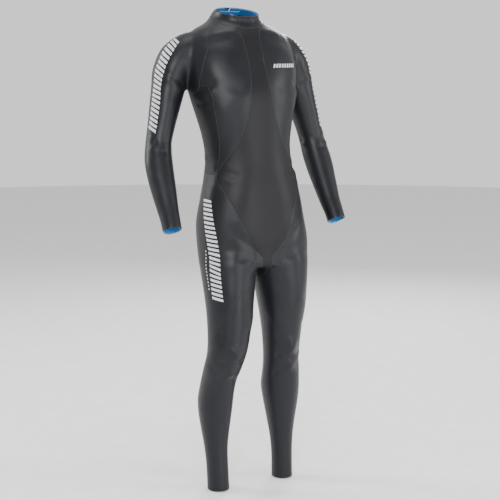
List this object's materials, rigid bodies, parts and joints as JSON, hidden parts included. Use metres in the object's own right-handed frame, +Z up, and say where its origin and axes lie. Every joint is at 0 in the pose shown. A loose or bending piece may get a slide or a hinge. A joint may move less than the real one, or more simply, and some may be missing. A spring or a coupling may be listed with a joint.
{
  "type": "full wetsuit",
  "caption": "Full-length back-zip wetsuit of panelled neoprene, standing in the shape of a body, with bending elbows and knees and a sliding zip.",
  "frame": {"origin": "centre of the collar seam, where a hanger or a neck holds the suit", "axes": "+Z up along the body, the wearer faces -Y, the wearer's right is -X"},
  "size_m": [0.608, 0.2589, 1.4112],
  "materials": {
    "smooth_neoprene": "smooth-skin neoprene, satin black",
    "matt_neoprene": "smooth-skin neoprene, duller black",
    "zip_tape": "woven black tape",
    "zip_teeth": "moulded black",
    "zip_metal": "dark plated casting",
    "hook_and_loop": "brushed black"
  },
  "bodies": {
    "suit": {"chest_panel_right": "smooth_neoprene", "shoulder_panel_right": "smooth_neoprene", "back_panel_right": "smooth_neoprene", "hip_panel_right": "smooth_neoprene", "sleeve_upper_right": "smooth_neoprene", "sleeve_elbow_right": "smooth_neoprene", "thigh_outer_panel_right": "smooth_neoprene", "leg_knee_right": "smooth_neoprene", "chest_panel_left": "smooth_neoprene", "shoulder_panel_left": "smooth_neoprene", "back_panel_left": "smooth_neoprene", "hip_panel_left": "smooth_neoprene", "sleeve_upper_left": "smooth_neoprene", "sleeve_elbow_left": "smooth_neoprene", "thigh_outer_panel_left": "smooth_neoprene", "leg_knee_left": "smooth_neoprene", "collar_left": "smooth_neoprene", "collar_right": "smooth_neoprene", "front_centre_panel": "matt_neoprene", "seat_panel": "matt_neoprene", "crotch_gusset": "matt_neoprene", "collar_front_insert": "matt_neoprene", "zip_backing_flap": "matt_neoprene", "side_panel_right": "matt_neoprene", "thigh_inner_panel_right": "matt_neoprene", "side_panel_left": "matt_neoprene", "thigh_inner_panel_left": "matt_neoprene", "zip_tape_right": "zip_tape", "zip_tape_left": "zip_tape", "zip_teeth_right": "zip_teeth", "zip_teeth_left": "zip_teeth", "zip_top_stop": "zip_teeth", "zip_bottom_stop": "zip_teeth", "collar_loop_pad": "hook_and_loop"},
    "forearm_right": {"sleeve_forearm_right": "smooth_neoprene"},
    "forearm_left": {"sleeve_forearm_left": "smooth_neoprene"},
    "shin_right": {"leg_shin_right": "smooth_neoprene"},
    "shin_left": {"leg_shin_left": "smooth_neoprene"},
    "zip_slider": {"zip_slider_body": "zip_metal", "zip_slider_back_plate": "zip_metal"},
    "zip_pull": {"zip_pull_tab": "zip_metal"},
    "collar_tab": {"collar_tab": "smooth_neoprene", "collar_hook_pad": "hook_and_loop"}
  },
  "joints": [
    {"name": "elbow_right", "type": "hinge", "parent": "suit", "child": "forearm_right", "pos_m": [-0.252, -0.009, -0.36], "axis": [-1, 0, 0], "range_deg": [-10, 75], "stiffness_Nm_per_rad": 1, "deforming": ["sleeve_elbow_right"]},
    {"name": "elbow_left", "type": "hinge", "parent": "suit", "child": "forearm_left", "pos_m": [0.26, -0.009, -0.36], "axis": [-1, 0, 0], "range_deg": [-10, 75], "stiffness_Nm_per_rad": 1, "deforming": ["sleeve_elbow_left"]},
    {"name": "knee_right", "type": "hinge", "parent": "suit", "child": "shin_right", "pos_m": [-0.084, -0.1125, -0.943], "axis": [1, 0, 0], "range_deg": [-5, 75], "stiffness_Nm_per_rad": 3, "deforming": ["leg_knee_right"]},
    {"name": "knee_left", "type": "hinge", "parent": "suit", "child": "shin_left", "pos_m": [0.111, -0.0845, -0.943], "axis": [1, 0, 0], "range_deg": [-5, 75], "stiffness_Nm_per_rad": 3, "deforming": ["leg_knee_left"]},
    {"name": "zip_slide", "type": "slide", "parent": "suit", "child": "zip_slider", "axis": [0.0333, -0.0952, -0.9949], "range_m": [0, 0.36]},
    {"name": "pull_tab_swing", "type": "hinge", "parent": "zip_slider", "child": "zip_pull", "pos_m": [0.001, 0.0755, -0.0053], "axis": [0.9994, 0.0032, 0.0332], "range_deg": [-4, 160]},
    {"name": "collar_tab_swing", "type": "hinge", "parent": "suit", "child": "collar_tab", "pos_m": [0.01655, 0.0604, 0.0192], "axis": [0, 0.4497, -0.8932], "range_deg": [0, 90], "stiffness_Nm_per_rad": 0.02}
  ]
}
